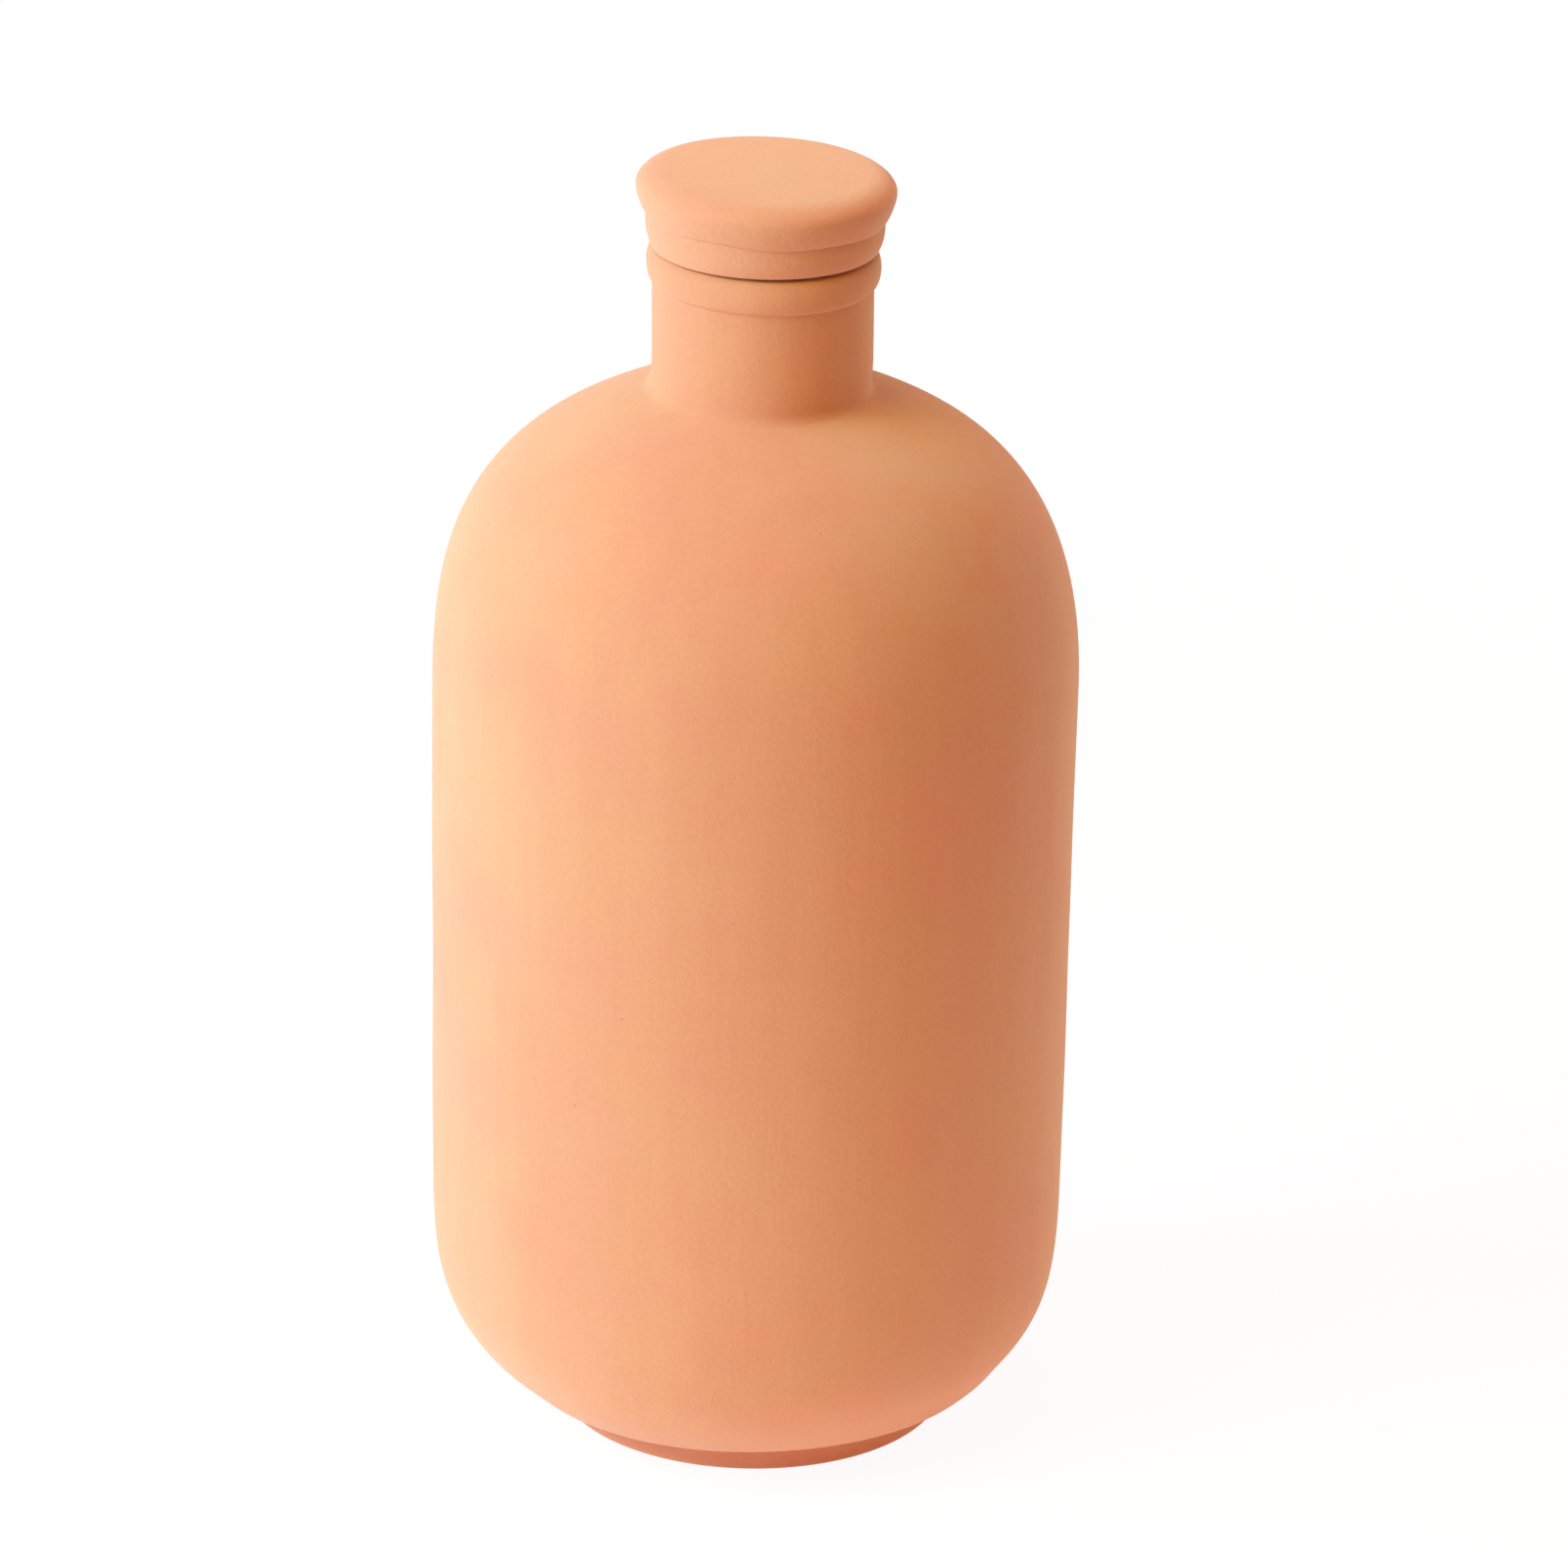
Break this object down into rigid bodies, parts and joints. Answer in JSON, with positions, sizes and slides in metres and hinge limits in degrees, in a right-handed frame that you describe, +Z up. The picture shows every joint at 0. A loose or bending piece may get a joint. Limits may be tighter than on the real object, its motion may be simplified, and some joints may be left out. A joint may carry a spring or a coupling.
{
  "type": "irrigation olla",
  "caption": "Tall porous terracotta water bottle with rounded shoulders, a straight neck and a loose plug lid, buried up to its neck to water plants slowly.",
  "frame": {"origin": "centre of the foot's underside, on the surface that the bottle stands on", "axes": "+Z up along the bottle's turning axis; -Y faces the camera of the picture"},
  "size_m": [0.16, 0.16, 0.3271],
  "materials": {
    "bottle_clay": "matt unglazed terracotta",
    "lid_clay": "matt unglazed terracotta"
  },
  "bodies": {
    "root": {"bottle": "bottle_clay", "lid": "lid_clay"}
  },
  "joints": []
}
